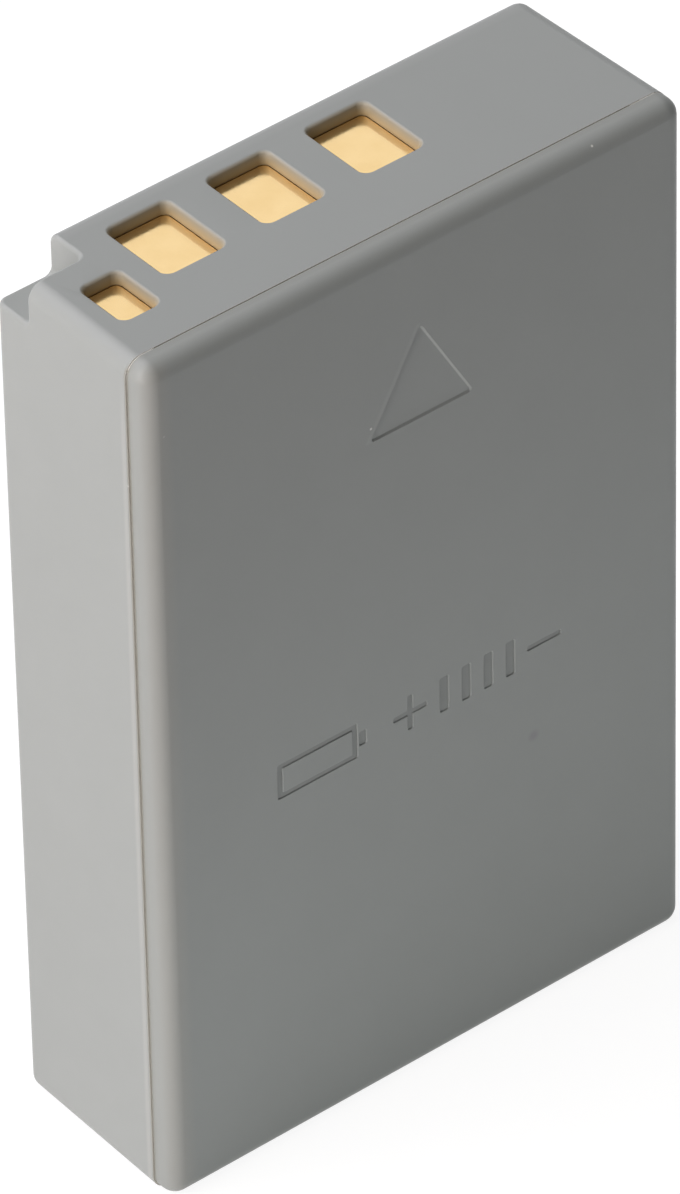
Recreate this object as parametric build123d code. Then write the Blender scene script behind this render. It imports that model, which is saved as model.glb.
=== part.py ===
from build123d import *
import os

# A two-cell rechargeable camera battery, upright on its base with the contact end up.
# X runs along the wide face, Y from the front cover to the back, Z up.
# The origin is under the middle of the base. All sizes are in millimetres.

# Case: a moulded tub whose sides close in a little towards the back
body_width = 35.5
body_thickness = 12.4
body_height = 55.0
side_draft = 0.3
case_wall = 0.85
back_wall = 0.6
corner_radius = 1.0
back_edge_radius = 0.65
inner_corner_radius = 0.45

# Front cover and its welded joint with the tub
cover_depth = 1.45
cover_wall = 0.8
cover_corner_radius = 1.05
cover_edge_radius = 1.0
cover_inset = 0.03
cover_shift = 0.05
seam_gap = 0.04
seam_depth = 0.05
seam_end_left = 1.8
seam_end_right = 2.5
seam_end_height = 0.6
rim_land = 0.5
tongue_length = 0.9
tongue_clearance = 0.1

# Sunk insertion arrow on the cover
arrow_side = 6.9
arrow_depth = 0.1
arrow_slope = 48
arrow_base_height = 43.38
arrow_offset = 0.05
arrow_corner_radius = 0.18

# Keyed step in the top corner at the left and back
notch_width = 3.86
notch_length = 2.78
notch_depth = 2.55
notch_edge_radius = 0.25
notch_root_radius = 0.45

# Contact windows through the top wall
window_width = 3.9
window_length = 4.87
window_pitch = 6.47
window_count = 3
window_setback = 2.29
window_back_margin = 1.745
small_window_width = 2.4
small_window_length = 3.46
small_window_margin = 2.11
small_window_setback = 1.95
window_corner_radius = 0.45
window_lip_bevel = 0.2

# Circuit board with its contact plates, on rails inside the tub
board_thickness = 0.8
board_clearance = 0.2
plate_thickness = 0.3
plate_margin = 0.3
plate_gap = 0.08
rail_reach = 1.1
rail_thickness = 0.6

# Parts soldered under the board
chip_height = 1.0
chip_standoff = 0.1
chip_setback = 3.2
lead_width = 0.3
lead_thickness = 0.15
lead_length = 0.7
lead_root = 0.2
lead_pitch = 0.65
switch_length = 3.0
switch_width = 3.0
switch_lead_count = 4
guard_length = 2.9
guard_width = 1.6
guard_lead_count = 3
passive_length = 1.6
passive_width = 0.8
passive_cap = 0.3
passive_step = 0.05
passive_pitch = 2.2
passive_clearance = 0.325
resistor_height = 0.45
resistor_count = 4
capacitor_height = 0.8
capacitor_count = 3
thermistor_setback = 5.25

# Cells: drawn cans with welded lids and a riveted terminal
cell_side_clearance = 0.2
cell_corner_radius = 2.0
cell_base_bevel = 0.5
can_wall = 0.35
lid_thickness = 1.0
terminal_height = 0.6
gasket_flange = 0.2
gasket_radius = 1.6
gasket_wall = 0.4
rivet_shank_radius = 0.8
rivet_head_radius = 1.3
tab_length = 5.0
tab_width = 3.0
tab_offset = 9.0

# Insulation and adhesive
tape_thickness = 0.2
tape_margin = 3.0
foam_thickness = 0.25
foam_margin = 5.0
base_pad_thickness = 0.3
base_pad_clearance = 0.6
insulator_thickness = 0.2
insulator_margin = 0.5
insulator_clearance = 0.2

# Nickel strips and the thermal fuse
strip_thickness = 0.15
strip_width = 3.0
lead_strip_width = 1.4
strip_bend_radius = 0.15
strip_foot = 2.4
component_clearance = 0.4
fuse_length = 4.0
fuse_width = 3.0
fuse_height = 0.9
fuse_offset = 6.6
fuse_head_room = 0.5

# How close a face or an edge lies to a plane or a point to count as on it
flat_tolerance = 0.01

# Planes and levels that the pieces share
front_y = -body_thickness / 2
back_y = body_thickness / 2
seam_y = front_y + cover_depth
inner_front_y = front_y + cover_wall
inner_back_y = back_y - back_wall
half_width = body_width / 2
inner_half_back = half_width - side_draft - case_wall
inner_top_z = body_height - case_wall
notch_x = -half_width + notch_width
notch_y = back_y - notch_length
notch_z = body_height - notch_depth
window_back_y = back_y - window_back_margin
first_window_x = notch_x + window_setback
plate_top_z = inner_top_z - plate_gap
board_top_z = plate_top_z - plate_thickness
board_base_z = board_top_z - board_thickness
board_front_y = seam_y + tongue_length + board_clearance
strip_room = max(chip_height + component_clearance, fuse_height + fuse_head_room)
strip_top_z = board_base_z - strip_room
terminal_top_z = strip_top_z - strip_thickness
lid_top_z = terminal_top_z - terminal_height
lid_base_z = lid_top_z - lid_thickness
cell_base_z = case_wall + base_pad_thickness
cell_half = inner_half_back - cell_side_clearance
cell_depth = (inner_back_y - inner_front_y - tape_thickness - 2 * foam_thickness) / 2
rear_cell_y = inner_back_y - foam_thickness - cell_depth / 2
front_cell_y = inner_front_y + foam_thickness + cell_depth / 2


def slab(x0, x1, y0, y1, z0, z1):
    """A box between two opposite corners."""
    return Pos((x0 + x1) / 2, (y0 + y1) / 2, (z0 + z1) / 2) * Box(x1 - x0, y1 - y0, z1 - z0)


def rounded_plate(x0, x1, y0, y1, z0, z1, radius):
    """A flat plate with rounded upright corners."""
    outline = Pos((x0 + x1) / 2, (y0 + y1) / 2, z0) * RectangleRounded(x1 - x0, y1 - y0, radius)
    return extrude(outline, z1 - z0)


def outline_block(inset, y0, y1, corner=corner_radius):
    """The case's front outline, drawn in by an inset, as a block between two upright planes."""
    radius = max(corner - inset, inner_corner_radius)
    upright = Plane((0, y1, body_height / 2), x_dir=(1, 0, 0), z_dir=(0, -1, 0))
    outline = upright * RectangleRounded(body_width - 2 * inset, body_height - 2 * inset, radius)
    return extrude(outline, y1 - y0)


def drafted_block(inset, y0, y1, z0, z1, radius):
    """An upright block that follows the drafted sides of the tub at an inset, with rounded corners."""
    slope = side_draft / (back_y - seam_y)
    half_0 = half_width - inset - slope * (y0 - seam_y)
    half_1 = half_width - inset - slope * (y1 - seam_y)
    outline = Polyline((-half_0, y0), (half_0, y0), (half_1, y1), (-half_1, y1), close=True)
    block = Pos(0, 0, z0) * extrude(make_face(outline), z1 - z0)
    sides = block.edges().filter_by(lambda edge: abs(edge.tangent_at(0.5).Y) > 0.9)
    return fillet(sides, radius)


def face_at(shape, y):
    """The largest flat face of a shape on one upright plane."""
    upright = shape.faces().filter_by(Axis.Y)
    on_plane = upright.filter_by(lambda face: abs(face.center().Y - y) < flat_tolerance)
    return on_plane.sort_by(SortBy.AREA)[-1]


def window_spans():
    """The plan of each contact window, left to right with the small one last: x0, x1, y0, y1."""
    spans = []
    for index in range(window_count):
        left = first_window_x + index * window_pitch
        spans.append((left, left + window_width, window_back_y - window_length, window_back_y))
    left = -half_width + small_window_margin
    back = notch_y - small_window_setback
    spans.append((left, left + small_window_width, back - small_window_length, back))
    return spans


def make_tub():
    """Rear shell with drafted sides, the keyed step, contact windows, board rails and a rebated rim."""
    shell = drafted_block(0, seam_y, back_y, 0, body_height, corner_radius)
    shell = fillet(face_at(shell, back_y).edges(), back_edge_radius)

    # Keyed step, cut with a rounded root, and a soft edge all round its mouth
    step = slab(-body_width, notch_x, notch_y, body_thickness, notch_z, 2 * body_height)
    root = Vector(notch_x, notch_y, notch_z)
    at_root = step.edges().filter_by(lambda edge: edge.distance_to(root) < flat_tolerance)
    step = fillet(at_root, notch_root_radius)
    stepped = shell - step
    shell = fillet(new_edges(shell, step, combined=stepped), notch_edge_radius)

    # Contact windows with bevelled lips
    for x0, x1, y0, y1 in window_spans():
        window = rounded_plate(x0, x1, y0, y1, board_base_z, body_height + case_wall, window_corner_radius)
        pierced = shell - window
        lips = new_edges(shell, window, combined=pierced).filter_by(
            lambda edge: abs(edge.center().Z - body_height) < flat_tolerance
        )
        shell = chamfer(lips, window_lip_bevel)

    # Cavity, less the inside of the keyed step and the two rails under the board
    cavity = drafted_block(case_wall, front_y, inner_back_y, case_wall, inner_top_z, inner_corner_radius)
    cavity -= slab(
        -body_width,
        notch_x + case_wall,
        notch_y - case_wall,
        body_thickness,
        notch_z - case_wall,
        body_height,
    )
    rail_x = inner_half_back - rail_reach
    for x0, x1 in ((-half_width, -rail_x), (rail_x, half_width)):
        cavity -= slab(x0, x1, board_front_y, back_y, board_base_z - rail_thickness, board_base_z)
    shell -= cavity

    # Rebate that takes the tongue of the cover
    return shell - outline_block(rim_land, front_y, seam_y + tongue_length + tongue_clearance)


def make_cover():
    """Front lid: rounded edges, a tongue into the tub, a groove along the seam and the sunk arrow."""
    cover = outline_block(cover_inset, front_y, seam_y, cover_corner_radius)
    cover = fillet(face_at(cover, front_y).edges(), cover_edge_radius)
    cover += outline_block(rim_land + tongue_clearance, inner_front_y, seam_y + tongue_length)
    cover -= outline_block(case_wall, inner_front_y, seam_y + 2 * tongue_length)

    # Groove along the four straight runs of the seam, closed round the corners
    groove_y = seam_y - seam_gap, seam_y + seam_gap
    groove = outline_block(-seam_depth, *groove_y)
    groove -= outline_block(cover_inset + seam_depth, *groove_y, cover_corner_radius)
    for z in (0, body_height):
        for x, end in ((-half_width, seam_end_left), (half_width, seam_end_right)):
            groove -= Pos(x, seam_y, z) * Box(2 * end, 4 * seam_gap, 2 * seam_end_height)
    cover -= groove

    # Arrow: an upright triangle with sloping sides that points towards the contact end
    arrow_height = arrow_side * 3**0.5 / 2
    inwards = Plane((arrow_offset, front_y, arrow_base_height), x_dir=(-1, 0, 0), z_dir=(0, 1, 0))
    triangle = make_face(Polyline((-arrow_side / 2, 0), (arrow_side / 2, 0), (0, arrow_height), close=True))
    triangle = fillet(triangle.vertices(), arrow_corner_radius)
    cover -= extrude(inwards * triangle, arrow_depth, taper=arrow_slope)
    return Pos(cover_shift, 0, 0) * cover


def make_board():
    """Circuit board across the contact end, cut away beside the keyed step."""
    half = inner_half_back - board_clearance
    board = slab(-half, half, board_front_y, inner_back_y - board_clearance, board_base_z, board_top_z)
    cut_x = notch_x + case_wall + board_clearance
    cut_y = notch_y - case_wall - board_clearance
    return board - slab(-body_width, cut_x, cut_y, body_thickness, board_base_z, board_top_z)


def make_contact_plates():
    """Gold-plated contacts on the board, each a little larger than its window."""
    plates = {}
    for index, (x0, x1, y0, y1) in enumerate(window_spans()):
        name = "contact_plate_small" if index == window_count else f"contact_plate_{index + 1}"
        plates[name] = slab(
            x0 - plate_margin,
            x1 + plate_margin,
            y0 - plate_margin,
            y1 + plate_margin,
            board_top_z,
            plate_top_z,
        )
    return plates


def leaded_chip(x, y, length, width, lead_count):
    """A moulded chip under the board, with a row of flat leads along each long side."""
    body_top = board_base_z - chip_standoff
    body_base = board_base_z - chip_height
    chip = slab(x - length / 2, x + length / 2, y - width / 2, y + width / 2, body_base, body_top)
    for index in range(lead_count):
        lead_x = x + (index - (lead_count - 1) / 2) * lead_pitch
        for side in (-1, 1):
            inner = y + side * (width / 2 - lead_root)
            outer = y + side * (width / 2 + lead_length)
            chip += slab(
                lead_x - lead_width / 2,
                lead_x + lead_width / 2,
                min(inner, outer),
                max(inner, outer),
                board_base_z - lead_thickness,
                board_base_z,
            )
    return chip


def chip_passive(x, y, height):
    """A small two-ended chip part under the board, with a cap at each end."""
    half = passive_length / 2
    side = passive_width / 2
    low = board_base_z - height
    core = side - passive_step
    part = slab(x - half, x + half, y - core, y + core, low + passive_step, board_base_z)
    for x0, x1 in ((x - half, x - half + passive_cap), (x + half - passive_cap, x + half)):
        part += slab(x0, x1, y - side, y + side, low, board_base_z)
    return part


def make_board_parts():
    """Switch, guard chip, resistors, capacitors and thermistor, set out under the contact row."""
    chip_y = inner_back_y - chip_setback
    row_y = front_cell_y + lead_strip_width / 2 + passive_clearance + passive_width / 2
    first_x = first_window_x + window_width / 2
    guard_x = first_x + window_pitch
    capacitor_x = first_x + resistor_count * passive_pitch
    resistor_places = [first_x + index * passive_pitch for index in range(resistor_count)]
    capacitor_places = [capacitor_x + index * passive_pitch for index in range(capacitor_count)]
    resistors = [chip_passive(x, row_y, resistor_height) for x in resistor_places]
    capacitors = [chip_passive(x, row_y, capacitor_height) for x in capacitor_places]
    return {
        "switch_chip": leaded_chip(first_x, chip_y, switch_length, switch_width, switch_lead_count),
        "guard_chip": leaded_chip(guard_x, chip_y, guard_length, guard_width, guard_lead_count),
        "chip_resistors": Compound(children=resistors),
        "chip_capacitors": Compound(children=capacitors),
        "thermistor": chip_passive(half_width - thermistor_setback, row_y, resistor_height),
    }


def turned(profile):
    """A round piece from its half section, given as radius and height."""
    return revolve(Plane.XZ * make_face(Polyline(*profile, close=True)), Axis.Z)


def make_cell(prefix, cell_y, tab_x):
    """One cell: a drawn can, its lid, the insulated centre terminal and the tab welded to the lid."""
    y0 = cell_y - cell_depth / 2
    y1 = cell_y + cell_depth / 2
    can = rounded_plate(-cell_half, cell_half, y0, y1, cell_base_z, lid_top_z, cell_corner_radius)
    can = chamfer(can.faces().sort_by(Axis.Z)[0].edges(), cell_base_bevel)
    lid = rounded_plate(
        -cell_half + can_wall,
        cell_half - can_wall,
        y0 + can_wall,
        y1 - can_wall,
        lid_base_z,
        lid_top_z,
        cell_corner_radius - can_wall,
    )
    bore = rivet_shank_radius + gasket_wall
    flange_top = lid_top_z + gasket_flange
    gasket = turned(
        [
            (rivet_shank_radius, lid_base_z),
            (bore, lid_base_z),
            (bore, lid_top_z),
            (gasket_radius, lid_top_z),
            (gasket_radius, flange_top),
            (rivet_shank_radius, flange_top),
        ]
    )
    rivet = turned(
        [
            (0, lid_base_z),
            (rivet_shank_radius, lid_base_z),
            (rivet_shank_radius, flange_top),
            (rivet_head_radius, flange_top),
            (rivet_head_radius, terminal_top_z),
            (0, terminal_top_z),
        ]
    )
    hole = Pos(0, cell_y, (lid_base_z + lid_top_z) / 2) * Cylinder(bore, lid_thickness)
    tab = slab(
        tab_x - tab_length / 2,
        tab_x + tab_length / 2,
        cell_y - tab_width / 2,
        cell_y + tab_width / 2,
        lid_top_z,
        terminal_top_z,
    )
    return {
        f"{prefix}_cell_can": can - lid,
        f"{prefix}_cell_lid": lid - hole,
        f"{prefix}_cell_gasket": Pos(0, cell_y, 0) * gasket,
        f"{prefix}_cell_rivet": Pos(0, cell_y, 0) * rivet,
        f"{prefix}_cell_tab": tab,
    }


def lid_insulator(cell_y, tab_x):
    """Insulating paper over one cell's lid, with clipped corners, cut out round the terminal and tab."""
    half = cell_half - insulator_margin
    y0 = cell_y - cell_depth / 2 + insulator_margin
    y1 = cell_y + cell_depth / 2 - insulator_margin
    top = lid_top_z + insulator_thickness
    sheet = slab(-half, half, y0, y1, lid_top_z, top)
    sheet = chamfer(sheet.edges().filter_by(Axis.Z), cell_corner_radius - insulator_margin)
    for x, length, width in ((0, 2 * gasket_radius, 2 * gasket_radius), (tab_x, tab_length, tab_width)):
        reach_x = length / 2 + insulator_clearance
        reach_y = width / 2 + insulator_clearance
        sheet -= slab(x - reach_x, x + reach_x, cell_y - reach_y, cell_y + reach_y, lid_top_z, top)
    return sheet


def bent_strip(x_foot, turn, y, z_foot):
    """A thin lead that lies on a terminal, steps up and lies against the underside of the board."""
    low = z_foot + strip_thickness / 2
    high = board_base_z - strip_thickness / 2
    riser_x = x_foot + turn * strip_foot
    path = FilletPolyline(
        (x_foot - turn * strip_foot / 2, low),
        (riser_x, low),
        (riser_x, high),
        (riser_x + turn * strip_foot, high),
        radius=strip_bend_radius,
    )
    section = trace(path, strip_thickness)
    return Pos(0, y, 0) * extrude(Plane.XZ * section, lead_strip_width / 2, both=True)


def make_wiring():
    """Series link between the cells, leads up to the board and the thermal fuse in the negative lead."""
    half_strip = strip_width / 2
    link_x0 = -tab_offset - half_strip
    link = slab(
        link_x0,
        -tab_offset + half_strip,
        front_cell_y - half_strip,
        rear_cell_y + half_strip,
        terminal_top_z,
        strip_top_z,
    )
    link += slab(
        link_x0,
        rivet_head_radius,
        front_cell_y - half_strip,
        front_cell_y + half_strip,
        terminal_top_z,
        strip_top_z,
    )
    fuse_x0 = fuse_offset - fuse_length / 2
    fuse_x1 = fuse_offset + fuse_length / 2
    fuse_top_z = strip_top_z + fuse_height
    return {
        "series_link": link,
        "sense_strip": bent_strip(-tab_offset, 1, front_cell_y, strip_top_z),
        "negative_strip": slab(
            -rivet_head_radius,
            fuse_x1,
            rear_cell_y - half_strip,
            rear_cell_y + half_strip,
            terminal_top_z,
            strip_top_z,
        ),
        "thermal_fuse": slab(
            fuse_x0,
            fuse_x1,
            rear_cell_y - fuse_width / 2,
            rear_cell_y + fuse_width / 2,
            strip_top_z,
            fuse_top_z,
        ),
        "fuse_strip": bent_strip(fuse_offset, 1, rear_cell_y, fuse_top_z),
        "positive_strip": bent_strip(tab_offset, -1, front_cell_y, terminal_top_z),
    }


def make_padding():
    """Adhesive sheet between the cells, foam before and behind them and the pad that they stand on."""

    def sheet(margin, y0, y1):
        half = cell_half - margin
        return slab(-half, half, y0, y1, cell_base_z + margin, lid_top_z - margin)

    rear_front_y = rear_cell_y - cell_depth / 2
    front_back_y = front_cell_y + cell_depth / 2
    pad_half = cell_half - base_pad_clearance
    return {
        "cell_tape": sheet(tape_margin, front_back_y, rear_front_y),
        "rear_foam": sheet(foam_margin, inner_back_y - foam_thickness, inner_back_y),
        "front_foam": sheet(foam_margin, inner_front_y, inner_front_y + foam_thickness),
        "base_pad": slab(
            -pad_half,
            pad_half,
            inner_front_y + base_pad_clearance,
            inner_back_y - base_pad_clearance,
            case_wall,
            cell_base_z,
        ),
        "rear_insulator": lid_insulator(rear_cell_y, -tab_offset),
        "front_insulator": lid_insulator(front_cell_y, tab_offset),
    }


pieces = {"case_tub": make_tub(), "front_cover": make_cover(), "circuit_board": make_board()}
pieces.update(make_contact_plates())
pieces.update(make_board_parts())
pieces.update(make_cell("rear", rear_cell_y, -tab_offset))
pieces.update(make_cell("front", front_cell_y, tab_offset))
pieces.update(make_wiring())
pieces.update(make_padding())

os.makedirs("parts", exist_ok=True)
for name, piece in pieces.items():
    export_step(piece, f"parts/{name}.step")
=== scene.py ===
import math

import bmesh
import bpy
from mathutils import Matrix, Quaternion, Vector


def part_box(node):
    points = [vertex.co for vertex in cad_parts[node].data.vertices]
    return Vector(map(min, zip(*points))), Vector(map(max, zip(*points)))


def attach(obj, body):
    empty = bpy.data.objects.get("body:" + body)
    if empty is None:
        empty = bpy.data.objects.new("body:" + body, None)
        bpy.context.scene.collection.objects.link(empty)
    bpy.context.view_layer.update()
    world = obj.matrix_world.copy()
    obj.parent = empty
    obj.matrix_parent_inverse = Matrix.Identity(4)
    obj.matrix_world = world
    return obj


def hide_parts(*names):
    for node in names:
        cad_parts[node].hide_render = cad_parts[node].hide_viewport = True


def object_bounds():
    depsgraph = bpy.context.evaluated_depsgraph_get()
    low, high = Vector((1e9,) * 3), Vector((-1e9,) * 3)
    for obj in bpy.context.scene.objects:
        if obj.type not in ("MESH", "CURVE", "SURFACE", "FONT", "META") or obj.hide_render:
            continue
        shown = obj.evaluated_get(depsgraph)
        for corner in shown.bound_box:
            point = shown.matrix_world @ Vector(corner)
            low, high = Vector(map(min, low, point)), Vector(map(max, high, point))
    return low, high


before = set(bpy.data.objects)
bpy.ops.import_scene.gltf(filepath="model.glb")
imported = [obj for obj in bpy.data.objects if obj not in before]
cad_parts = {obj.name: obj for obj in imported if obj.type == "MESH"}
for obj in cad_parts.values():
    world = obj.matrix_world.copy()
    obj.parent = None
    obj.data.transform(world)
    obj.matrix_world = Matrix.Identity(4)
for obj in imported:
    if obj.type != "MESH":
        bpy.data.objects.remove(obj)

cad_low, cad_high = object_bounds()

# Cells: two flat rechargeable cells, one behind the other. Each is a can drawn from aluminium sheet with
# a lid welded into its mouth. A rivet in a plastic gasket is one pole and a tab on the lid the other.
mm = 0.001


def new_material(name):
    """A node material, with its tree, its shader and the object's own coordinates."""
    material = bpy.data.materials.new(name)
    material.use_nodes = True
    tree = material.node_tree
    shader = tree.nodes["Principled BSDF"]
    place = tree.nodes.new("ShaderNodeTexCoord").outputs["Object"]
    return material, tree, shader, place


def noise(tree, place, size, detail=2.0, stretch=None):
    """Noise whose features measure about size, in metres, drawn out along an axis where asked."""
    if stretch is not None:
        mapping = tree.nodes.new("ShaderNodeMapping")
        mapping.inputs["Scale"].default_value = stretch
        tree.links.new(place, mapping.inputs["Vector"])
        place = mapping.outputs["Vector"]
    texture = tree.nodes.new("ShaderNodeTexNoise")
    texture.inputs["Scale"].default_value = 1 / size
    texture.inputs["Detail"].default_value = detail
    tree.links.new(place, texture.inputs["Vector"])
    return texture.outputs["Fac"]


def spread(tree, value, low, high, source=(0.3, 0.7)):
    """A value carried over from one range to another, and held at its ends."""
    ramp = tree.nodes.new("ShaderNodeMapRange")
    ramp.inputs["From Min"].default_value = source[0]
    ramp.inputs["From Max"].default_value = source[1]
    ramp.inputs["To Min"].default_value = low
    ramp.inputs["To Max"].default_value = high
    tree.links.new(value, ramp.inputs["Value"])
    return ramp.outputs["Result"]


def two_tones(tree, value, first, second):
    """A colour between two tones, by a value from 0 to 1. A tone is a colour or the output of a node."""
    mix = tree.nodes.new("ShaderNodeMix")
    mix.data_type = "RGBA"
    for tone, socket in ((first, mix.inputs["A"]), (second, mix.inputs["B"])):
        if isinstance(tone, tuple):
            socket.default_value = (*tone, 1)
        else:
            tree.links.new(tone, socket)
    tree.links.new(value, mix.inputs["Factor"])
    return mix.outputs["Result"]


def relief(tree, shader, value, depth, strength):
    """Bump of a stated depth on a shader."""
    bump = tree.nodes.new("ShaderNodeBump")
    bump.inputs["Distance"].default_value = depth
    bump.inputs["Strength"].default_value = strength
    tree.links.new(value, bump.inputs["Height"])
    tree.links.new(bump.outputs["Normal"], shader.inputs["Normal"])


def coat(piece, material):
    """Gives a piece one finish all over."""
    piece.data.materials.clear()
    piece.data.materials.append(material)


def dress(material, *names):
    """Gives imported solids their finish."""
    for name in names:
        coat(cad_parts[name], material)


def worked_metal(name, dark, light, roughness, grain, stretch):
    """Bare metal with the lines that drawing or rolling leaves along one direction."""
    material, tree, shader, place = new_material(name)
    cloud = spread(tree, noise(tree, place, size=4 * mm, detail=3), 0, 1)
    tree.links.new(two_tones(tree, cloud, dark, light), shader.inputs["Base Color"])
    shader.inputs["Metallic"].default_value = 1.0
    lines = noise(tree, place, grain, detail=3, stretch=stretch)
    tree.links.new(spread(tree, lines, *roughness), shader.inputs["Roughness"])
    relief(tree, shader, lines, depth=0.002 * mm, strength=0.3)
    return material


def moulded_plastic(name, dark, light, roughness, grain):
    """Moulded plastic with a fine grain and a slow drift of tone."""
    material, tree, shader, place = new_material(name)
    cloud = spread(tree, noise(tree, place, size=1.5 * mm, detail=3), 0, 1)
    tree.links.new(two_tones(tree, cloud, dark, light), shader.inputs["Base Color"])
    patches = noise(tree, place, size=0.6 * mm, detail=3)
    tree.links.new(spread(tree, patches, *roughness), shader.inputs["Roughness"])
    relief(tree, shader, noise(tree, place, grain), depth=0.003 * mm, strength=0.3)
    return material


drawn_can = worked_metal(
    "drawn_can", dark=(0.66, 0.67, 0.68), light=(0.76, 0.77, 0.78),
    roughness=(0.30, 0.44), grain=0.15 * mm, stretch=(1, 1, 0.04),
)
rolled_lid = worked_metal(
    "rolled_lid", dark=(0.68, 0.69, 0.70), light=(0.78, 0.79, 0.80),
    roughness=(0.24, 0.36), grain=0.12 * mm, stretch=(0.05, 1, 1),
)
nickel = worked_metal(
    "rolled_nickel", dark=(0.60, 0.57, 0.52), light=(0.70, 0.67, 0.61),
    roughness=(0.22, 0.34), grain=0.10 * mm, stretch=(0.06, 1, 1),
)
gasket_plastic = moulded_plastic(
    "gasket_plastic", dark=(0.030, 0.030, 0.033), light=(0.045, 0.045, 0.048),
    roughness=(0.42, 0.55), grain=0.06 * mm,
)
for cell in ("rear", "front"):
    dress(drawn_can, f"{cell}_cell_can")
    dress(rolled_lid, f"{cell}_cell_lid")
    dress(gasket_plastic, f"{cell}_cell_gasket")
    dress(nickel, f"{cell}_cell_rivet", f"{cell}_cell_tab")

# Paper and pads: pressed paper over each lid and under the cells, an adhesive sheet that holds the cells
# together, and thin foam that takes up their swelling. All are die-cut and stuck on.


def pressed_paper():
    """Smooth pressed board with its fibres lying one way."""
    material, tree, shader, place = new_material("pressed_paper")
    fibre = noise(tree, place, size=0.35 * mm, detail=5, stretch=(1, 0.35, 1))
    tone = two_tones(tree, spread(tree, fibre, 0, 1), (0.56, 0.50, 0.37), (0.66, 0.61, 0.48))
    tree.links.new(tone, shader.inputs["Base Color"])
    shader.inputs["Roughness"].default_value = 0.82
    shader.inputs["Specular IOR Level"].default_value = 0.3
    relief(tree, shader, fibre, depth=0.01 * mm, strength=0.4)
    return material


def adhesive_film():
    """Pale film with an uneven layer of adhesive."""
    material, tree, shader, place = new_material("adhesive_film")
    cloud = noise(tree, place, size=2.2 * mm, detail=4)
    tone = two_tones(tree, spread(tree, cloud, 0, 1), (0.64, 0.63, 0.57), (0.74, 0.73, 0.68))
    tree.links.new(tone, shader.inputs["Base Color"])
    tree.links.new(spread(tree, cloud, 0.45, 0.65), shader.inputs["Roughness"])
    relief(tree, shader, noise(tree, place, size=0.3 * mm, detail=3), depth=0.006 * mm, strength=0.4)
    return material


def closed_cell_foam():
    """Black foam with small closed bubbles."""
    bubble_size = 0.22 * mm
    material, tree, shader, place = new_material("closed_cell_foam")
    bubbles = tree.nodes.new("ShaderNodeTexVoronoi")
    bubbles.inputs["Scale"].default_value = 1 / bubble_size
    tree.links.new(place, bubbles.inputs["Vector"])
    depth = spread(tree, bubbles.outputs["Distance"], 0, 1, (0.0, 0.7))
    tone = two_tones(tree, depth, (0.012, 0.012, 0.013), (0.032, 0.032, 0.034))
    tree.links.new(tone, shader.inputs["Base Color"])
    shader.inputs["Roughness"].default_value = 0.88
    relief(tree, shader, depth, depth=0.04 * mm, strength=0.6)
    return material


dress(pressed_paper(), "rear_insulator", "front_insulator", "base_pad")
dress(adhesive_film(), "cell_tape")
dress(closed_cell_foam(), "rear_foam", "front_foam")

# Wiring: strips of rolled nickel, spot-welded between the cells and up to the board, with a small moulded
# thermal fuse in the negative lead.
dress(nickel, "series_link", "sense_strip", "negative_strip", "fuse_strip", "positive_strip")
fuse_mould = moulded_plastic(
    "fuse_mould", dark=(0.020, 0.020, 0.022), light=(0.032, 0.032, 0.035),
    roughness=(0.25, 0.38), grain=0.05 * mm,
)
dress(fuse_mould, "thermal_fuse")

# Circuit board: glass laminate under green lacquer, with the copper tracks showing through it. The chips,
# resistors, capacitors and thermistor are soldered to its underside.


def reckon(tree, value, *steps):
    """A value taken through steps of arithmetic, each with a number or the output of a node."""
    for operation, amount in steps:
        step = tree.nodes.new("ShaderNodeMath")
        step.operation = operation
        tree.links.new(value, step.inputs[0])
        if isinstance(amount, float):
            step.inputs[1].default_value = amount
        else:
            tree.links.new(amount, step.inputs[1])
        value = step.outputs["Value"]
    return value


def along(tree, place, axis):
    """How far a point lies along one axis."""
    parts = tree.nodes.new("ShaderNodeSeparateXYZ")
    tree.links.new(place, parts.inputs["Vector"])
    return parts.outputs[axis]


def beyond(tree, value, middle, reach, pitch=None):
    """1 where a value is further than reach from a middle, 0 nearer, repeated at a pitch where asked."""
    steps = [("SUBTRACT", middle)]
    if pitch is not None:
        steps = [("SUBTRACT", middle - pitch / 2), ("FLOORED_MODULO", pitch), ("SUBTRACT", pitch / 2)]
    steps += [("ABSOLUTE", 0.0), ("GREATER_THAN", reach)]
    return reckon(tree, value, *steps)


def lacquered_board():
    """Green lacquer, darker between the copper tracks that lie under it."""
    track_pitch = 2.4 * mm
    material, tree, shader, place = new_material("lacquered_board")
    tracks = tree.nodes.new("ShaderNodeTexBrick")
    tracks.inputs["Scale"].default_value = 1 / track_pitch
    tracks.inputs["Mortar Size"].default_value = 0.08
    tracks.inputs["Mortar Smooth"].default_value = 0.3
    tracks.inputs["Color1"].default_value = (0.018, 0.105, 0.045, 1)
    tracks.inputs["Color2"].default_value = (0.022, 0.120, 0.052, 1)
    tracks.inputs["Mortar"].default_value = (0.012, 0.070, 0.030, 1)
    tree.links.new(place, tracks.inputs["Vector"])
    tree.links.new(tracks.outputs["Color"], shader.inputs["Base Color"])
    shader.inputs["Coat Weight"].default_value = 0.5
    shader.inputs["Coat Roughness"].default_value = 0.12
    patches = noise(tree, place, size=1.2 * mm, detail=3)
    tree.links.new(spread(tree, patches, 0.28, 0.40), shader.inputs["Roughness"])
    relief(tree, shader, tracks.outputs["Fac"], depth=0.02 * mm, strength=0.3)
    return material


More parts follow.
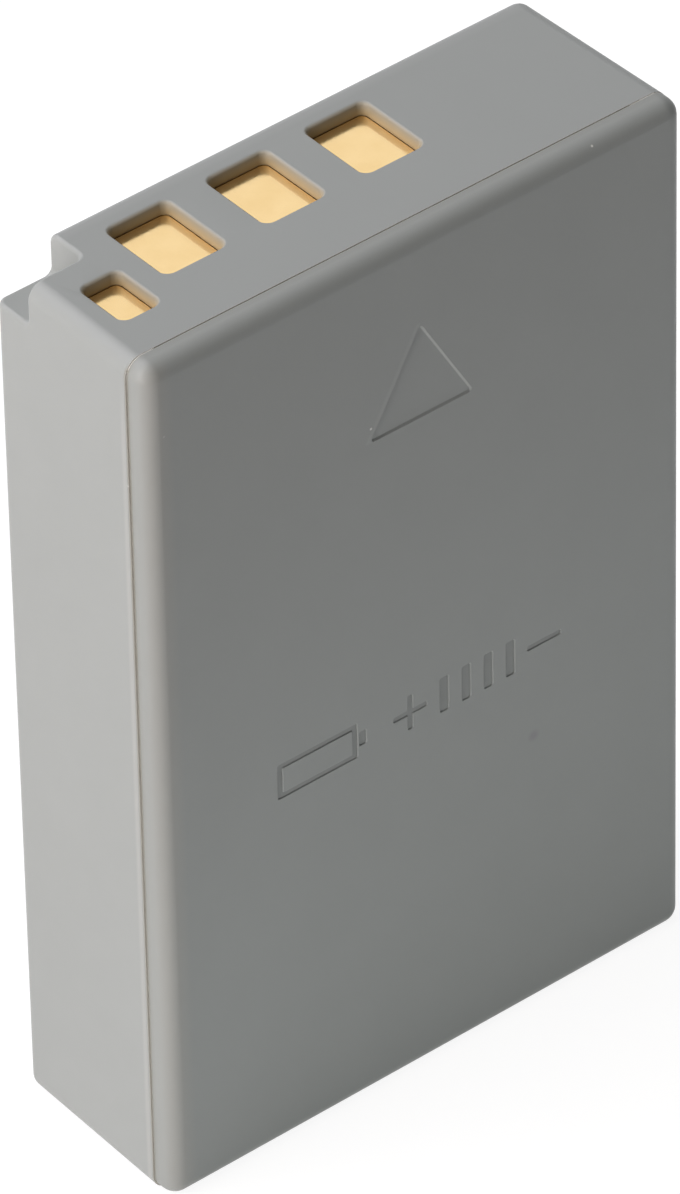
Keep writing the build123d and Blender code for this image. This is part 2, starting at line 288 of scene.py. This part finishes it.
def tinned_part(name, body_dark, body_light, roughness, axis, *ends):
    """A small moulded or fired body whose ends or leads, beyond a reach along an axis, are tinned."""
    tin_dark = (0.56, 0.56, 0.55)
    tin_light = (0.68, 0.68, 0.66)
    tin_roughness = 0.32
    material, tree, shader, place = new_material(name)
    cloud = spread(tree, noise(tree, place, size=0.5 * mm, detail=3), 0, 1)
    body = two_tones(tree, cloud, body_dark, body_light)
    tin = two_tones(tree, cloud, tin_dark, tin_light)
    metal = beyond(tree, along(tree, place, axis), *ends)
    tree.links.new(two_tones(tree, metal, body, tin), shader.inputs["Base Color"])
    tree.links.new(metal, shader.inputs["Metallic"])
    tree.links.new(spread(tree, metal, roughness, tin_roughness, (0, 1)), shader.inputs["Roughness"])
    relief(tree, shader, noise(tree, place, size=0.05 * mm), depth=0.002 * mm, strength=0.3)
    return material


dress(lacquered_board(), "circuit_board")
lead_length = 0.7 * mm
chip_roughness = 0.55
for chip in ("switch_chip", "guard_chip"):
    low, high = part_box(chip)
    leads = ("Y", (low.y + high.y) / 2, (high.y - low.y) / 2 - lead_length)
    mould = tinned_part(chip, (0.012, 0.012, 0.013), (0.022, 0.022, 0.024), chip_roughness, *leads)
    dress(mould, chip)

passive_length = 1.6 * mm
passive_cap = 0.3 * mm
passive_pitch = 2.2 * mm
passive_roughness = 0.45
passive_tones = {
    "chip_resistors": ((0.020, 0.020, 0.024), (0.035, 0.035, 0.040)),
    "chip_capacitors": ((0.42, 0.33, 0.22), (0.50, 0.40, 0.28)),
    "thermistor": ((0.10, 0.14, 0.12), (0.14, 0.19, 0.16)),
}
for passive, (dark, light) in passive_tones.items():
    first_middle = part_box(passive)[0].x + passive_length / 2
    caps = ("X", first_middle, passive_length / 2 - passive_cap, passive_pitch)
    dress(tinned_part(passive, dark, light, passive_roughness, *caps), passive)

# Contact plates: four plates, gold over nickel, soldered to the board. Each is stamped with a low land that
# stands in its window. The gold is polished, with fine wiping scratches from the springs that rub on it.
squarely = 0.9


def contact_gold():
    """Polished gold with a slight haze and wiping scratches that run from front to back."""
    material, tree, shader, place = new_material("contact_gold")
    cloud = spread(tree, noise(tree, place, size=1.5 * mm, detail=3), 0, 1)
    tone = two_tones(tree, cloud, (0.90, 0.65, 0.32), (0.94, 0.695, 0.36))
    tree.links.new(tone, shader.inputs["Base Color"])
    shader.inputs["Metallic"].default_value = 1.0
    haze = noise(tree, place, size=0.12 * mm, detail=3, stretch=(1.0, 0.18, 1.0))
    tree.links.new(spread(tree, haze, 0.10, 0.19), shader.inputs["Roughness"])
    scratch = noise(tree, place, size=0.05 * mm, stretch=(1.0, 0.06, 1.0))
    relief(tree, shader, scratch, depth=0.0015 * mm, strength=0.12)
    return material


def pick(piece):
    """Makes a piece the only selected object and the active one."""
    bpy.ops.object.select_all(action="DESELECT")
    bpy.context.view_layer.objects.active = piece
    piece.select_set(True)


def start_edit(piece):
    """Opens a piece in edit mode with nothing picked."""
    pick(piece)
    bpy.ops.object.mode_set(mode="EDIT")
    bpy.ops.mesh.select_all(action="DESELECT")


def merged_copy(node, name):
    """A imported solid's own copy, with its loose facets joined and each flat face made whole."""
    merge_distance = 0.0005 * mm
    flat_angle = math.radians(0.3)
    piece = bpy.data.objects.new(name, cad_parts[node].data.copy())
    bpy.context.scene.collection.objects.link(piece)
    pick(piece)
    bpy.ops.mesh.customdata_custom_splitnormals_clear()
    start_edit(piece)
    bpy.ops.mesh.select_all(action="SELECT")
    bpy.ops.mesh.remove_doubles(threshold=merge_distance)
    bpy.ops.mesh.dissolve_limited(angle_limit=flat_angle)
    bpy.ops.object.mode_set(mode="OBJECT")
    return piece


def raise_land(piece, plate_z):
    """Draws the middle of a plate up into its window, with round corners."""
    near = 0.001 * mm
    plate_margin = 0.3 * mm
    clearance = 0.07 * mm
    land_height = 0.10 * mm
    corner_radius = 0.38 * mm
    start_edit(piece)
    bpy.ops.mesh.select_mode(type="FACE")
    mesh = bmesh.from_edit_mesh(piece.data)
    for face in mesh.faces:
        face.select_set(face.normal.z > squarely)
    bmesh.update_edit_mesh(piece.data)
    bpy.ops.mesh.inset(thickness=plate_margin + clearance)
    bpy.ops.mesh.extrude_region_move(TRANSFORM_OT_translate={"value": (0, 0, land_height)})
    bpy.ops.mesh.select_all(action="DESELECT")
    bpy.ops.mesh.select_mode(type="EDGE")
    mesh = bmesh.from_edit_mesh(piece.data)
    for edge in mesh.edges:
        heights = sorted(vertex.co.z for vertex in edge.verts)
        edge.select_set(abs(heights[0] - plate_z) < near and heights[1] > plate_z + land_height / 2)
    bmesh.update_edit_mesh(piece.data)
    bpy.ops.mesh.bevel(offset=corner_radius, segments=5, affect="EDGES")
    bpy.ops.object.mode_set(mode="OBJECT")


gold = contact_gold()
plates = ("contact_plate_1", "contact_plate_2", "contact_plate_3", "contact_plate_small")
for plate in plates:
    landed = merged_copy(plate, f"landed_{plate}")
    raise_land(landed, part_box(plate)[1].z)
    coat(landed, gold)
    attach(landed, "root")
    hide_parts(plate)

# Case tub: the rear half of the case, injection-moulded in satin grey plastic. Its sides are drafted,
# its top wall holds the contact windows and one corner is stepped so that the pack goes in one way only.
# The front rim is rebated for the cover, which is welded on.
seam_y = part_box("case_tub")[0].y
front_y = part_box("front_cover")[0].y
top_z = cad_high.z
corner_x = cad_high.x - 1.8 * mm
corner_z = top_z - 1.0 * mm
sign_depth = 0.07 * mm
sign_low = 23.4 * mm
sign_height = 2.25 * mm
sign_middle = sign_low + sign_height / 2


def shade_moulding(piece, sharpest):
    """Soft shading over rounds and flat on large faces. Edges sharper than an angle in degrees stay."""
    pick(piece)
    bpy.ops.object.shade_smooth_by_angle(angle=math.radians(sharpest))
    even = piece.modifiers.new("even_shading", "WEIGHTED_NORMAL")
    even.keep_sharp = True
    even.weight = 60
    bpy.ops.object.modifier_apply(modifier=even.name)


def case_plastic():
    """Satin moulded plastic: an even grey with a fine eroded grain, a few marks, and painted highlights,
    shade and light.
    """
    material, tree, shader, place = new_material("case_plastic")
    x, y, z = (along(tree, place, axis) for axis in "XYZ")
    drift = spread(tree, noise(tree, place, size=6 * mm, detail=3), 0, 1)
    colour = two_tones(tree, drift, (0.318, 0.333, 0.320), (0.324, 0.339, 0.326))

    # Rim of the tub: a painted highlight, palest on the lit left side, up to the corners
    left_turn = (-17.7 * mm, -17.4 * mm)
    rim_middle = 0.32 * mm
    rim_fade = (0.06 * mm, 0.24 * mm)
    rim_end = (corner_z - 4 * mm, corner_z)
    rim_highlight_grey = (0.40, 0.405, 0.385)
    behind_seam = reckon(tree, y, ("SUBTRACT", seam_y))
    off_rim = reckon(tree, behind_seam, ("SUBTRACT", rim_middle), ("ABSOLUTE", 0.0))
    on_rim = spread(tree, off_rim, 0.6, 0, rim_fade)
    leftmost = spread(tree, x, 1, 0.3, left_turn)
    below_corner = spread(tree, z, 1, 0, rim_end)
    rim_highlight = reckon(tree, on_rim, ("MULTIPLY", leftmost), ("MULTIPLY", below_corner))
    colour = two_tones(tree, rim_highlight, colour, rim_highlight_grey)

    # Edge of the cover: painted shade, a little darker towards the seam
    cover_start = -0.04 * mm
    cover_shade_fade = (-0.85 * mm, -0.12 * mm)
    cover_shade_grey = (0.285, 0.294, 0.275)
    on_cover = reckon(tree, behind_seam, ("LESS_THAN", cover_start))
    edge = reckon(tree, spread(tree, behind_seam, 0, 1, cover_shade_fade), ("MULTIPLY", on_cover))
    colour = two_tones(tree, edge, colour, cover_shade_grey)

    # Seam: a darker brown along the groove on the left side, darkest higher up, and painted light in the
    # groove that is palest round the corners
    groove_middle = -0.02 * mm
    groove_dark_fade = (0.04 * mm, 0.17 * mm)
    groove_dark_climb = (4 * mm, 28 * mm)
    groove_brown = (0.20, 0.187, 0.145)
    off_groove = reckon(tree, behind_seam, ("SUBTRACT", groove_middle), ("ABSOLUTE", 0.0))
    near_groove = spread(tree, off_groove, 1, 0, groove_dark_fade)
    on_side = spread(tree, x, 0.7, 0, left_turn)
    upper = spread(tree, z, 0.5, 1, groove_dark_climb)
    groove_darkening = reckon(tree, near_groove, ("MULTIPLY", on_side), ("MULTIPLY", upper))
    colour = two_tones(tree, groove_darkening, colour, groove_brown)
    # Painted light: the groove is painted pale to cancel its shade, most of all round the corners
    groove_light_fade = (0.022 * mm, 0.032 * mm)
    corner_rise = (corner_z - 0.4 * mm, corner_z + 0.2 * mm)
    groove_light_grey = (0.54, 0.525, 0.47)
    corner_light_grey = (0.71, 0.70, 0.655)
    groove_light = spread(tree, off_groove, 1, 0, groove_light_fade)
    high_up = spread(tree, z, 0, 1, corner_rise)
    round_corner = reckon(tree, beyond(tree, x, 0.0, corner_x), ("MULTIPLY", high_up))
    groove_light_tone = two_tones(tree, round_corner, groove_light_grey, corner_light_grey)
    colour = two_tones(tree, groove_light, colour, groove_light_tone)

    # Painted highlights: the left edge of the front and the back edge of the top are painted a little paler
    left_highlight_span = (-16.75 * mm, -15.9 * mm)
    front_highlight_span = (-1.3 * mm, -0.6 * mm)
    left_highlight_grey = (0.354, 0.356, 0.333)
    at_left = spread(tree, x, 1, 0, left_highlight_span)
    at_front = spread(tree, behind_seam, 1, 0, front_highlight_span)
    front_edge_highlight = reckon(tree, at_left, ("MULTIPLY", at_front))
    colour = two_tones(tree, front_edge_highlight, colour, left_highlight_grey)
    back_highlight_span = (5.0 * mm, 5.5 * mm)
    top_highlight_span = (top_z - 1.0 * mm, top_z - 0.5 * mm)
    back_highlight_grey = (0.348, 0.361, 0.350)
    at_back = spread(tree, y, 0, 0.9, back_highlight_span)
    at_top = spread(tree, z, 0, 1, top_highlight_span)
    back_edge_highlight = reckon(tree, at_back, ("MULTIPLY", at_top))
    colour = two_tones(tree, back_edge_highlight, colour, back_highlight_grey)

    # Windows: their walls are painted warm, a painted reflection of light from the gold below
    wall_fade = (top_z - 1.1 * mm, top_z + 0.35 * mm)
    lip_fade = (top_z - 0.12 * mm, top_z - 0.01 * mm)
    gold_glow_brown = (0.49, 0.355, 0.165)
    outside = None
    for plate in plates:
        low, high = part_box(plate)
        centre = (low + high) / 2
        reach = (high - low) / 2
        wide = beyond(tree, x, centre.x, reach.x)
        deep = beyond(tree, y, centre.y, reach.y)
        away = reckon(tree, wide, ("MAXIMUM", deep))
        outside = away if outside is None else reckon(tree, outside, ("MULTIPLY", away))
    sunk = spread(tree, z, 1, 0, wall_fade)
    in_window = spread(tree, z, 1, 0, lip_fade)
    gold_glow = reckon(tree, sunk, ("SUBTRACT", outside), ("MAXIMUM", 0.0), ("MULTIPLY", in_window))
    colour = two_tones(tree, gold_glow, colour, gold_glow_brown)

    # Signs: painted shade darkens their floors
    sign_shade_fade = (0.0, 0.07 * mm)
    row_half = 14 * mm
    sign_shade_grey = (0.20, 0.21, 0.20)
    depth = reckon(tree, y, ("SUBTRACT", front_y))
    off_floor = reckon(tree, depth, ("SUBTRACT", sign_depth), ("ABSOLUTE", 0.0))
    floors = spread(tree, off_floor, 0.5, 0, sign_shade_fade)
    off_row = beyond(tree, z, sign_middle, sign_height)
    off_sides = beyond(tree, x, 0.0, row_half)
    sign_shade = reckon(tree, floors, ("SUBTRACT", off_row), ("SUBTRACT", off_sides), ("MAXIMUM", 0.0))
    colour = two_tones(tree, sign_shade, colour, sign_shade_grey)

    # Arrow: a painted highlight along its left edge, a slanting line on the face
    arrow_slant = math.radians(30)
    arrow_offset = 24.73 * mm
    arrow_middle = 46.4 * mm
    arrow_half = 3 * mm
    arrow_depth = 0.2 * mm
    line_fade = (0.05 * mm, 0.2 * mm)
    arrow_highlight_grey = (0.37, 0.385, 0.37)
    upwards = reckon(tree, z, ("MULTIPLY", math.sin(arrow_slant)))
    sideways = reckon(tree, x, ("MULTIPLY", math.cos(arrow_slant)))
    off_line = reckon(tree, upwards, ("SUBTRACT", sideways), ("SUBTRACT", arrow_offset), ("ABSOLUTE", 0.0))
    line = spread(tree, off_line, 0.5, 0, line_fade)
    off_arrow = beyond(tree, z, arrow_middle, arrow_half)
    inside = reckon(tree, depth, ("GREATER_THAN", arrow_depth))
    arrow_highlight = reckon(tree, line, ("SUBTRACT", off_arrow), ("SUBTRACT", inside), ("MAXIMUM", 0.0))
    colour = two_tones(tree, arrow_highlight, colour, arrow_highlight_grey)

    # Specks: a few pale nicks, one painted glint and one dark smudge, with places and reaches in
    # millimetres
    core = 0.3
    specks = (
        ((-3.26, -6.20, 44.30), 0.10, (0.75, 0.75, 0.72)),
        ((11.80, -5.89, 54.70), 0.09, (0.85, 0.85, 0.80)),
        ((-16.54, -6.20, 50.55), 0.09, (0.45, 0.45, 0.43)),
        ((-17.72, -4.70, 47.15), 0.08, (0.60, 0.60, 0.57)),
        ((7.35, -6.20, 18.50), 0.45, (0.28, 0.285, 0.285)),
        ((-14.07, 1.81, 54.80), 0.10, (0.70, 0.68, 0.62)),
        # the next speck is a painted glint
        ((-13.33, 0.97, 54.60), 0.08, (0.75, 0.72, 0.66)),
    )
    for point, reach, tone in specks:
        distance = tree.nodes.new("ShaderNodeVectorMath")
        distance.operation = "DISTANCE"
        distance.inputs[1].default_value = [part * mm for part in point]
        tree.links.new(place, distance.inputs[0])
        near = spread(tree, distance.outputs["Value"], 1, 0, (core * reach * mm, reach * mm))
        colour = two_tones(tree, near, colour, tone)
    tree.links.new(colour, shader.inputs["Base Color"])

    patches = noise(tree, place, size=2.5 * mm, detail=4)
    tree.links.new(spread(tree, patches, 0.42, 0.48), shader.inputs["Roughness"])
    shader.inputs["Specular IOR Level"].default_value = 0.4
    relief(tree, shader, noise(tree, place, size=0.07 * mm), depth=0.004 * mm, strength=0.35)
    return material


plastic = case_plastic()
tub = merged_copy("case_tub", "tub_shell")
shade_moulding(tub, sharpest=52)
coat(tub, plastic)
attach(tub, "root")
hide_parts("case_tub")

# Front cover: a shallow lid moulded in the same plastic and welded to the tub along the seam. Its face
# has the sunk insertion arrow and a row of sunk signs, all moulded in, with softened edges.
sign_stroke = 0.30 * mm
sign_corner = 0.10 * mm
mouth_round = 0.07 * mm


def sign_block(name, x0, x1, z0, z1):
    """A block that stands half in the face of the cover, to cut a sunk sign with, open in edit mode."""
    bpy.ops.object.select_all(action="DESELECT")
    bpy.ops.mesh.primitive_cube_add(size=1)
    block = bpy.context.active_object
    block.name = name
    start_edit(block)
    bpy.ops.mesh.select_all(action="SELECT")
    bpy.ops.transform.resize(value=(x1 - x0, 2 * sign_depth, z1 - z0))
    bpy.ops.transform.translate(value=((x0 + x1) / 2, front_y, (z0 + z1) / 2))
    return block


def pick_faces(block, middle, *normals):
    """Picks the faces that lie straight out from the middle of a block along the given directions."""
    near = 0.01 * mm
    bpy.ops.mesh.select_all(action="DESELECT")
    bpy.ops.mesh.select_mode(type="FACE")
    mesh = bmesh.from_edit_mesh(block.data)
    for face in mesh.faces:
        out = face.calc_center_median() - middle
        for normal in normals:
            if face.normal.dot(Vector(normal)) > squarely and out.cross(Vector(normal)).length < near:
                face.select_set(True)
    bmesh.update_edit_mesh(block.data)


def round_upright(block):
    """Rounds the corners of a block as seen from the front, and leaves edit mode."""
    bpy.ops.mesh.select_all(action="DESELECT")
    bpy.ops.mesh.select_mode(type="EDGE")
    mesh = bmesh.from_edit_mesh(block.data)
    for edge in mesh.edges:
        direction = (edge.verts[1].co - edge.verts[0].co).normalized()
        edge.select_set(abs(direction.y) > squarely)
    bmesh.update_edit_mesh(block.data)
    bpy.ops.mesh.bevel(offset=sign_corner, segments=3, affect="EDGES")
    bpy.ops.object.mode_set(mode="OBJECT")
    return block


def bar_sign(name, x0, x1, z0, z1):
    """A bar: one block with round corners."""
    return round_upright(sign_block(name, x0, x1, z0, z1))


def frame_sign(name, x0, x1, z0, z1):
    """A rectangular outline: a block whose front and back are inset and joined through."""
    block = sign_block(name, x0, x1, z0, z1)
    middle = Vector(((x0 + x1) / 2, front_y, (z0 + z1) / 2))
    through = (0, -1, 0), (0, 1, 0)
    for normal in through:
        pick_faces(block, middle, normal)
        bpy.ops.mesh.inset(thickness=sign_stroke)
    pick_faces(block, middle, *through)
    bpy.ops.mesh.bridge_edge_loops()
    return round_upright(block)


def plus_sign(name, x0, x1, z0, z1):
    """A cross: a small block whose four sides are drawn out into arms."""
    half = sign_stroke / 2
    middle = Vector(((x0 + x1) / 2, front_y, (z0 + z1) / 2))
    block = sign_block(name, middle.x - half, middle.x + half, middle.z - half, middle.z + half)
    arm_x = (x1 - x0) / 2 - half
    arm_z = (z1 - z0) / 2 - half
    arms = (((1, 0, 0), arm_x), ((-1, 0, 0), arm_x), ((0, 0, 1), arm_z), ((0, 0, -1), arm_z))
    for direction, reach in arms:
        pick_faces(block, middle, direction)
        move = tuple(reach * part for part in direction)
        bpy.ops.mesh.extrude_region_move(TRANSFORM_OT_translate={"value": move})
    return round_upright(block)


def cut_signs(piece, blocks):
    """Joins the blocks, cuts them out of the cover and removes them."""
    cutter = blocks[0]
    pick(cutter)
    for block in blocks:
        block.select_set(True)
    bpy.ops.object.join()
    pick(piece)
    cut = piece.modifiers.new("sunk_signs", "BOOLEAN")
    cut.operation = "DIFFERENCE"
    cut.solver = "EXACT"
    cut.object = cutter
    bpy.ops.object.modifier_apply(modifier=cut.name)
    bpy.data.objects.remove(cutter)


def soften_mouths(piece, width):
    """Rounds the edges where the sunk signs meet the face of the cover."""
    near = 0.002 * mm
    steep = math.radians(60)
    start_edit(piece)
    bpy.ops.mesh.select_mode(type="EDGE")
    mesh = bmesh.from_edit_mesh(piece.data)
    for edge in mesh.edges:
        on_face = all(abs(vertex.co.y - front_y) < near for vertex in edge.verts)
        edge.select_set(on_face and edge.calc_face_angle(0) > steep)
    bmesh.update_edit_mesh(piece.data)
    bpy.ops.mesh.bevel(offset=width, segments=3, affect="EDGES", clamp_overlap=True)
    bpy.ops.object.mode_set(mode="OBJECT")


sign_top = sign_low + sign_height
battery_left = -9.85 * mm
battery_right = -4.55 * mm
nub_left = battery_right + sign_stroke / 2
nub_right = nub_left + 0.45 * mm
nub_half = sign_height / 5
signs = [
    frame_sign("battery_sign", battery_left, battery_right, sign_low, sign_top),
    bar_sign("nub_sign", nub_left, nub_right, sign_middle - nub_half, sign_middle + nub_half),
]
group_gap = 0.9 * mm
next_x = -2.1 * mm
signs.append(plus_sign("plus_sign", next_x, next_x + sign_height, sign_low, sign_top))
next_x += sign_height + group_gap
bar_count = 4
bar_width = 0.55 * mm
bar_gap = 0.95 * mm
for index in range(bar_count):
    signs.append(bar_sign(f"bar_sign_{index}", next_x, next_x + bar_width, sign_low, sign_top))
    next_x += bar_width + bar_gap
next_x += group_gap - bar_gap
minus_low = sign_middle - sign_stroke / 2
minus_top = sign_middle + sign_stroke / 2
signs.append(bar_sign("minus_sign", next_x, next_x + sign_height, minus_low, minus_top))

cover = merged_copy("front_cover", "cover_shell")
cut_signs(cover, signs)
soften_mouths(cover, mouth_round)
shade_moulding(cover, sharpest=31)
coat(cover, plastic)
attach(cover, "root")
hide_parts("front_cover")

# Stage: a wide sheet of white card under the battery, soft boxes at the left, above and behind it, a low
# lit card in front, and the white of the studio around. The camera stands at the left and front, looking
# down on the contacts.
floor_size = 4.0
bpy.ops.object.select_all(action="DESELECT")
bpy.ops.mesh.primitive_plane_add(size=floor_size, location=(0, 0, 0))
floor = bpy.context.active_object
floor.name = "floor"


def seen_directly(tree):
    """1 for rays from the camera and for mirror and see-through rays, 0 for light that falls on things."""
    under_one = 0.5
    path = tree.nodes.new("ShaderNodeLightPath")
    mirrored = path.outputs["Is Glossy Ray"]
    through = path.outputs["Is Transmission Ray"]
    looks = reckon(tree, path.outputs["Is Camera Ray"], ("MAXIMUM", mirrored), ("MAXIMUM", through))
    scattered = reckon(tree, path.outputs["Diffuse Depth"], ("GREATER_THAN", under_one))
    return reckon(tree, looks, ("SUBTRACT", scattered), ("MAXIMUM", 0.0))


def white_card():
    """White card. Where it is looked at, its own white leaves a little room for the shadow near by."""
    lit_white = (0.9, 0.9, 0.9)
    looked_at_white = (0.22, 0.22, 0.22)
    near_glow = 0.90
    far_glow = 1.0
    glow_rise = (0.15, 0.6)
    material = bpy.data.materials.new("white_card")
    material.use_nodes = True
    tree = material.node_tree
    tree.nodes.clear()
    looked_at = seen_directly(tree)
    card = tree.nodes.new("ShaderNodeBsdfDiffuse")
    tree.links.new(two_tones(tree, looked_at, lit_white, looked_at_white), card.inputs["Color"])
    glow = tree.nodes.new("ShaderNodeEmission")
    glow.inputs["Color"].default_value = (1, 1, 1, 1)
    far_off = tree.nodes.new("ShaderNodeVectorMath")
    far_off.operation = "LENGTH"
    tree.links.new(tree.nodes.new("ShaderNodeTexCoord").outputs["Object"], far_off.inputs[0])
    plain = spread(tree, far_off.outputs["Value"], near_glow, far_glow, glow_rise)
    tree.links.new(reckon(tree, plain, ("MULTIPLY", looked_at)), glow.inputs["Strength"])
    both = tree.nodes.new("ShaderNodeAddShader")
    tree.links.new(card.outputs["BSDF"], both.inputs[0])
    tree.links.new(glow.outputs["Emission"], both.inputs[1])
    output = tree.nodes.new("ShaderNodeOutputMaterial")
    tree.links.new(both.outputs["Shader"], output.inputs["Surface"])
    return material


floor.data.materials.append(white_card())

world = bpy.data.worlds.new("studio")
bpy.context.scene.world = world
world.use_nodes = True
studio = world.node_tree
studio.nodes.clear()
room = studio.nodes.new("ShaderNodeBackground")
room.inputs["Color"].default_value = (1, 1, 1, 1)
room.inputs["Strength"].default_value = 0.01
white = studio.nodes.new("ShaderNodeBackground")
white.inputs["Color"].default_value = (1, 1, 1, 1)
white.inputs["Strength"].default_value = 1.0
blend = studio.nodes.new("ShaderNodeMixShader")
studio.links.new(seen_directly(studio), blend.inputs["Fac"])
studio.links.new(room.outputs["Background"], blend.inputs[1])
studio.links.new(white.outputs["Background"], blend.inputs[2])
surround = studio.nodes.new("ShaderNodeOutputWorld")
studio.links.new(blend.outputs["Shader"], surround.inputs["Surface"])

middle = (0, 0, cad_high.z / 2)


def soft_box(name, place, size, power, tint, aim=middle):
    """A soft box lamp turned towards a point."""
    lamp = bpy.data.lights.new(name, "AREA")
    lamp.shape = "RECTANGLE"
    lamp.size, lamp.size_y = size
    lamp.energy = power
    lamp.color = tint
    box = bpy.data.objects.new(name, lamp)
    bpy.context.scene.collection.objects.link(box)
    box.location = place
    box.rotation_mode = "QUATERNION"
    box.rotation_quaternion = (Vector(aim) - Vector(place)).to_track_quat("-Z", "Y")
    box.visible_camera = False
    return box


soft_box("left_box", (-0.40, 0.02, 0.26), size=(0.30, 0.30), power=1.13, tint=(1.0, 0.945, 0.938))
soft_box("front_left_box", (-0.43, -0.14, 0.10), size=(0.30, 0.30), power=0.295, tint=(0.97, 0.95, 0.955))
soft_box("low_left_box", (-0.44, -0.06, 0.05), size=(0.30, 0.10), power=0.47, tint=(1.0, 0.90, 0.86))
soft_box("back_box", (-0.12, 0.30, 0.42), size=(0.45, 0.45), power=1.09, tint=(0.84, 0.83, 1.0))
soft_box("top_box", (-0.10, 0.14, 0.50), size=(0.45, 0.45), power=1.05, tint=(1.0, 0.985, 0.93))
card_z = 6 * mm
front_card = soft_box(
    "front_card", (-0.01, -0.045, card_z), size=(0.10, 0.008), power=0.0036, tint=(0.87, 0.97, 1.0),
    aim=(0, front_y, card_z),
)
front_card.visible_glossy = False

view_azimuth = math.radians(-38.777)
view_elevation = math.radians(38.703)
view_roll = math.radians(-1.227)
view_distance = 0.605459
sideways = -0.418 * mm
upwards = 0.319 * mm
focal_pixels = 11619.364
picture_height = 1194
sensor = 36.0

away = Vector((
    math.sin(view_azimuth) * math.cos(view_elevation),
    -math.cos(view_azimuth) * math.cos(view_elevation),
    math.sin(view_elevation),
))
turn = (-away).to_track_quat("-Z", "Y") @ Quaternion((0, 0, 1), view_roll)
camera_data = bpy.data.cameras.new("camera")
camera_data.sensor_width = sensor
camera_data.lens = focal_pixels / picture_height * sensor
camera = bpy.data.objects.new("camera", camera_data)
bpy.context.scene.collection.objects.link(camera)
camera.rotation_mode = "QUATERNION"
camera.rotation_quaternion = turn
camera.location = Vector(middle) + away * view_distance + turn @ Vector((sideways, upwards, 0))
bpy.context.scene.camera = camera

bpy.context.scene.view_settings.view_transform = "Standard"
